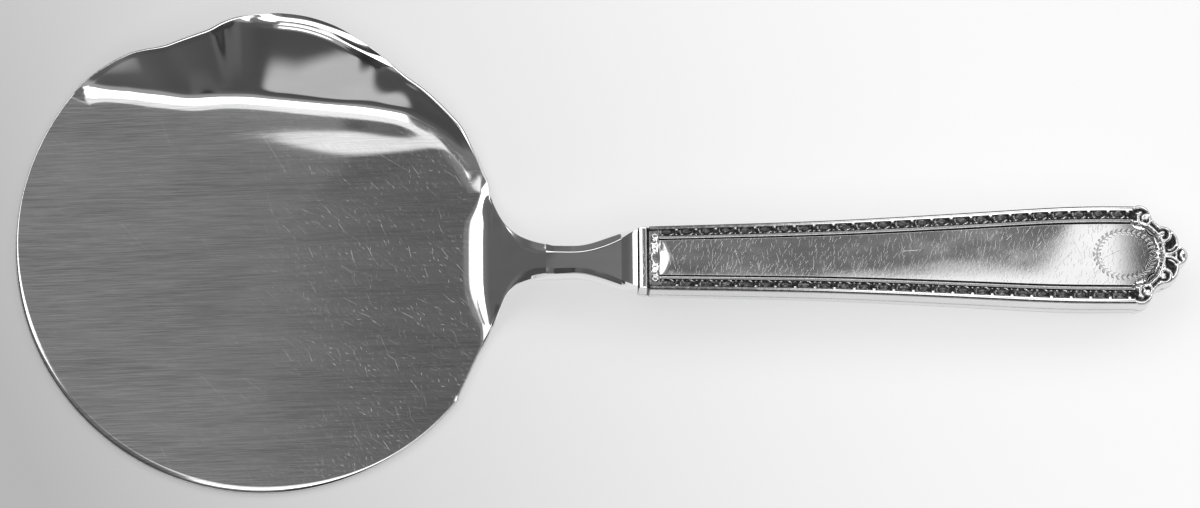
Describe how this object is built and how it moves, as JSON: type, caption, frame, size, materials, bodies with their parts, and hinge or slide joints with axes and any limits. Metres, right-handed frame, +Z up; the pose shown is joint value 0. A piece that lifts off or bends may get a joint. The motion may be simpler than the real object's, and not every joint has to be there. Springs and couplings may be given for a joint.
{
  "type": "cranberry server",
  "caption": "Flat round serving blade with one raised, flared lip, a cranked neck and a hollow ornamented handle, for sliced cranberry jelly.",
  "frame": {"origin": "centre of the round blade on its flat underside", "axes": "+X along the handle to its tip, +Y towards the blade's raised lip, +Z up from the table that it lies on"},
  "size_m": [0.2106, 0.0855, 0.0126],
  "materials": {
    "stainless_blade": "worn satin on the flat, polished on the lip and neck",
    "silver_handle": "polished, with fine scratches and dark patina in the ornament",
    "silver_solder": "dressed flush and polished",
    "handle_cement": "dull dark resin and plaster"
  },
  "bodies": {
    "root": {"blade": "stainless_blade", "handle_front_shell": "silver_handle", "handle_back_shell": "silver_handle", "solder_seam": "silver_solder", "handle_cement": "handle_cement"}
  },
  "joints": []
}
